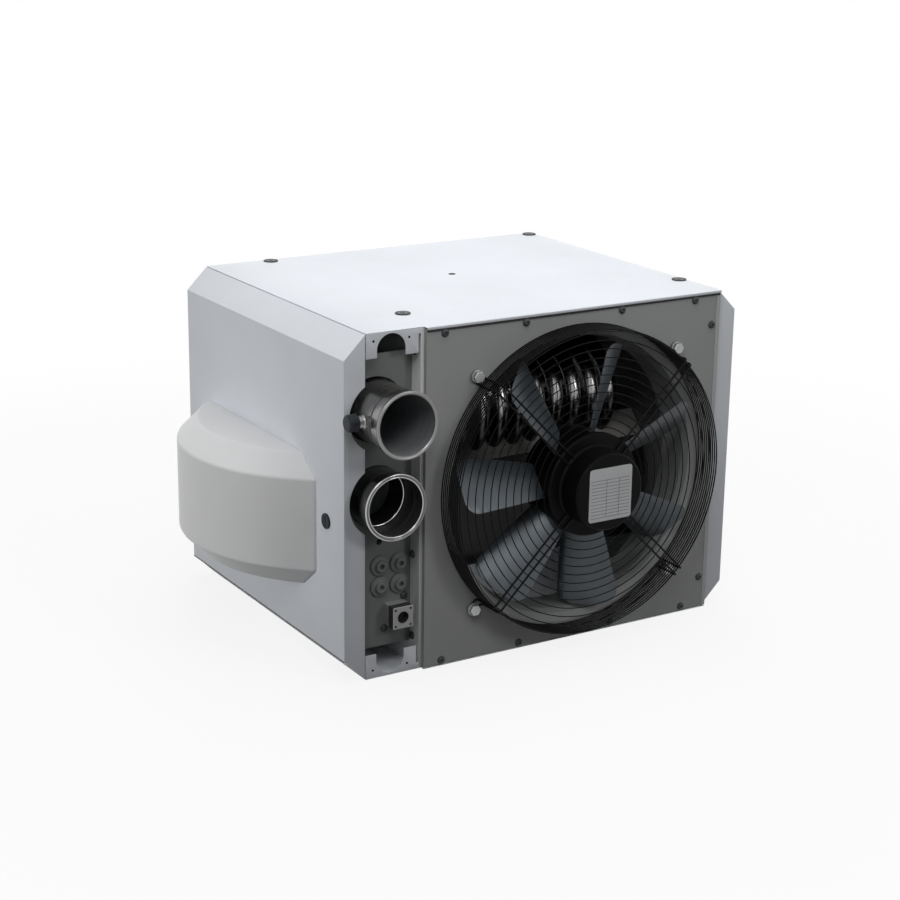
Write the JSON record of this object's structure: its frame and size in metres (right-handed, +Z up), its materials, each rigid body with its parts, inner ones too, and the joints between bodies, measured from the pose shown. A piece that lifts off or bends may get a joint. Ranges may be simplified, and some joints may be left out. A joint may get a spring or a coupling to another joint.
{
  "type": "gas-fired air heater",
  "caption": "Suspended warm-air unit: sheet casing with chamfered sides, rear fan in a wire guard, side door with a moulded hood, flue and air sockets, front louvres.",
  "frame": {"origin": "middle of the casing's underside", "axes": "+Z up, +X towards the service door, +Y towards the fan side"},
  "size_m": [0.858, 0.7075, 0.562],
  "materials": {
    "casing_coat": "smooth satin coat",
    "partition_sheet": "galvanised sheet",
    "plate_coat": "grey satin coat",
    "recess_coat": "dark grey satin coat",
    "hood_plastic": "moulded, satin",
    "guard_wire": "black coated wire",
    "motor_coat": "black coated casting",
    "blade_coat": "grey-blue coat",
    "exchanger_steel": "stainless sheet",
    "pipe_steel": "stainless, semi bright",
    "zinc": "zinc plated",
    "screw_black": "black plated",
    "rubber": "moulded",
    "black_plastic": "moulded",
    "cast_aluminium": "cast and machined",
    "copper_pipe": "drawn pipe",
    "control_plastic": "moulded",
    "gland_rubber": "moulded, grey",
    "ceramic": "glazed insulator"
  },
  "bodies": {
    "casing": {"top_panel": "casing_coat", "bottom_panel": "casing_coat", "left_wall": "casing_coat", "left_side_cover": "casing_coat", "front_panel": "casing_coat", "outlet_frame": "casing_coat", "upper_bracket": "casing_coat", "lower_bracket": "casing_coat", "chamber_support": "partition_sheet", "lock_keeper": "partition_sheet", "fan_plate": "plate_coat", "partition_wall": "plate_coat", "connection_plate": "recess_coat", "fan_guard": "guard_wire", "motor_stator": "motor_coat", "exchanger_tubes": "exchanger_steel", "combustion_chamber": "exchanger_steel", "flue_collector": "exchanger_steel", "flue_pipe": "pipe_steel", "flue_elbow": "pipe_steel", "air_inlet_socket": "pipe_steel", "guard_bolts": "zinc", "casing_hinge_leaves": "zinc", "suspension_inserts": "zinc", "gas_pipe": "zinc", "plate_screws": "screw_black", "recess_screws": "screw_black", "air_inlet_seal": "rubber", "blower_motor": "black_plastic", "pressure_switch": "black_plastic", "gas_inlet_flange": "cast_aluminium", "blower_housing": "cast_aluminium", "gas_air_mixer": "cast_aluminium", "gas_valve": "cast_aluminium", "burner_flange": "cast_aluminium", "limit_thermostat": "cast_aluminium", "gas_feed_pipe": "copper_pipe", "control_box": "control_plastic", "cable_glands": "gland_rubber", "ignition_electrode": "ceramic"},
    "fan": {"rotor_hub": "motor_coat", "fan_blades": "blade_coat"},
    "blower_wheel": {"blower_impeller": "black_plastic"},
    "door": {"service_door": "casing_coat", "hood": "hood_plastic", "door_hinge_leaves": "zinc"},
    "lock": {"door_lock": "black_plastic"},
    "port_cap": {"test_port_cap": "black_plastic"},
    "louvre_1": {"louvre_1": "casing_coat"},
    "louvre_2": {"louvre_2": "casing_coat"},
    "louvre_3": {"louvre_3": "casing_coat"},
    "louvre_4": {"louvre_4": "casing_coat"},
    "louvre_5": {"louvre_5": "casing_coat"},
    "louvre_6": {"louvre_6": "casing_coat"},
    "louvre_7": {"louvre_7": "casing_coat"},
    "louvre_8": {"louvre_8": "casing_coat"}
  },
  "joints": [
    {"name": "fan_spin", "type": "hinge", "parent": "casing", "child": "fan", "pos_m": [-0.05, 0.29, 0.28], "axis": [0, 1, 0], "continuous": true},
    {"name": "blower_spin", "type": "hinge", "parent": "casing", "child": "blower_wheel", "pos_m": [0.332, 0.02, 0.22], "axis": [0, 0, 1], "continuous": true},
    {"name": "door_swing", "type": "hinge", "parent": "casing", "child": "door", "pos_m": [0.3655, -0.2755, 0], "axis": [0, 0, -1], "range_deg": [0, 90]},
    {"name": "lock_turn", "type": "hinge", "parent": "door", "child": "lock", "pos_m": [0.372, 0.225, 0.254], "axis": [1, 0, 0], "range_deg": [0, 90]},
    {"name": "cap_pull", "type": "slide", "parent": "casing", "child": "port_cap", "axis": [1, 0, 0], "range_m": [0, 0.03]},
    {"name": "louvre_1_tilt", "type": "hinge", "parent": "casing", "child": "louvre_1", "pos_m": [-0.05, -0.29, 0.0665], "axis": [1, 0, 0], "range_deg": [-60, 60]},
    {"name": "louvre_2_tilt", "type": "hinge", "parent": "casing", "child": "louvre_2", "pos_m": [-0.05, -0.29, 0.1275], "axis": [1, 0, 0], "range_deg": [-60, 60]},
    {"name": "louvre_3_tilt", "type": "hinge", "parent": "casing", "child": "louvre_3", "pos_m": [-0.05, -0.29, 0.1885], "axis": [1, 0, 0], "range_deg": [-60, 60]},
    {"name": "louvre_4_tilt", "type": "hinge", "parent": "casing", "child": "louvre_4", "pos_m": [-0.05, -0.29, 0.2495], "axis": [1, 0, 0], "range_deg": [-60, 60]},
    {"name": "louvre_5_tilt", "type": "hinge", "parent": "casing", "child": "louvre_5", "pos_m": [-0.05, -0.29, 0.3105], "axis": [1, 0, 0], "range_deg": [-60, 60]},
    {"name": "louvre_6_tilt", "type": "hinge", "parent": "casing", "child": "louvre_6", "pos_m": [-0.05, -0.29, 0.3715], "axis": [1, 0, 0], "range_deg": [-60, 60]},
    {"name": "louvre_7_tilt", "type": "hinge", "parent": "casing", "child": "louvre_7", "pos_m": [-0.05, -0.29, 0.4325], "axis": [1, 0, 0], "range_deg": [-60, 60]},
    {"name": "louvre_8_tilt", "type": "hinge", "parent": "casing", "child": "louvre_8", "pos_m": [-0.05, -0.29, 0.4935], "axis": [1, 0, 0], "range_deg": [-60, 60]}
  ]
}
